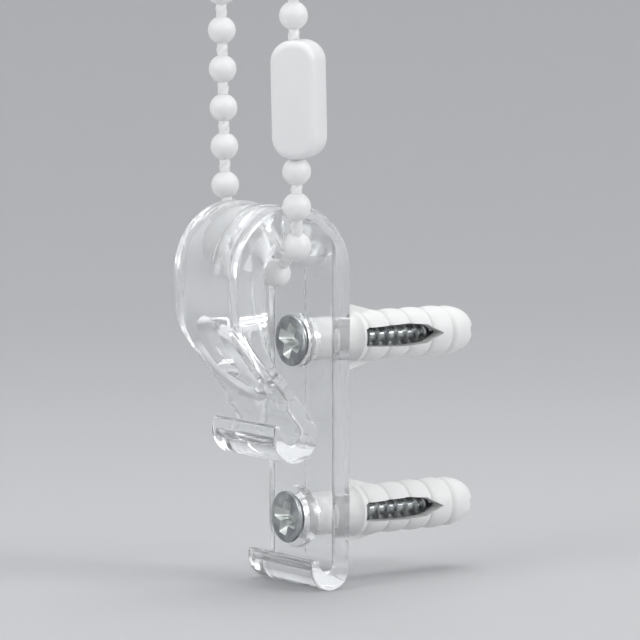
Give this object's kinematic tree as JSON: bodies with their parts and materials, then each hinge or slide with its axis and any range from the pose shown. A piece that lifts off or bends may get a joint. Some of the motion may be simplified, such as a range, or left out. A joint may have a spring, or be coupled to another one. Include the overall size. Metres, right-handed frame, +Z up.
{
  "type": "blind cord clip",
  "caption": "Clear wall clip that holds the bead chain of a roller blind, with a bowl for the chain, a hooked front leg and screws in wall plugs",
  "frame": {"origin": "on the back face of the wall plate, in the middle of its width and midway between its two screw holes", "axes": "+X across the clip, +Y into the wall, +Z up along the wall and the hanging chain"},
  "size_m": [0.0309, 0.0496, 0.0961],
  "materials": {
    "clear_plastic": "clear, polished",
    "zinc_steel": "bright zinc plating",
    "white_nylon": "satin",
    "white_bead": "satin",
    "white_cap": "semi-gloss"
  },
  "bodies": {
    "root": {"clip_body": "clear_plastic", "screw_upper": "zinc_steel", "screw_lower": "zinc_steel", "wall_plug_upper": "white_nylon", "wall_plug_lower": "white_nylon", "bead_chain": "white_bead", "bead_chain_upper": "white_bead", "connector_body": "white_cap", "connector_cover": "white_cap"}
  },
  "joints": []
}
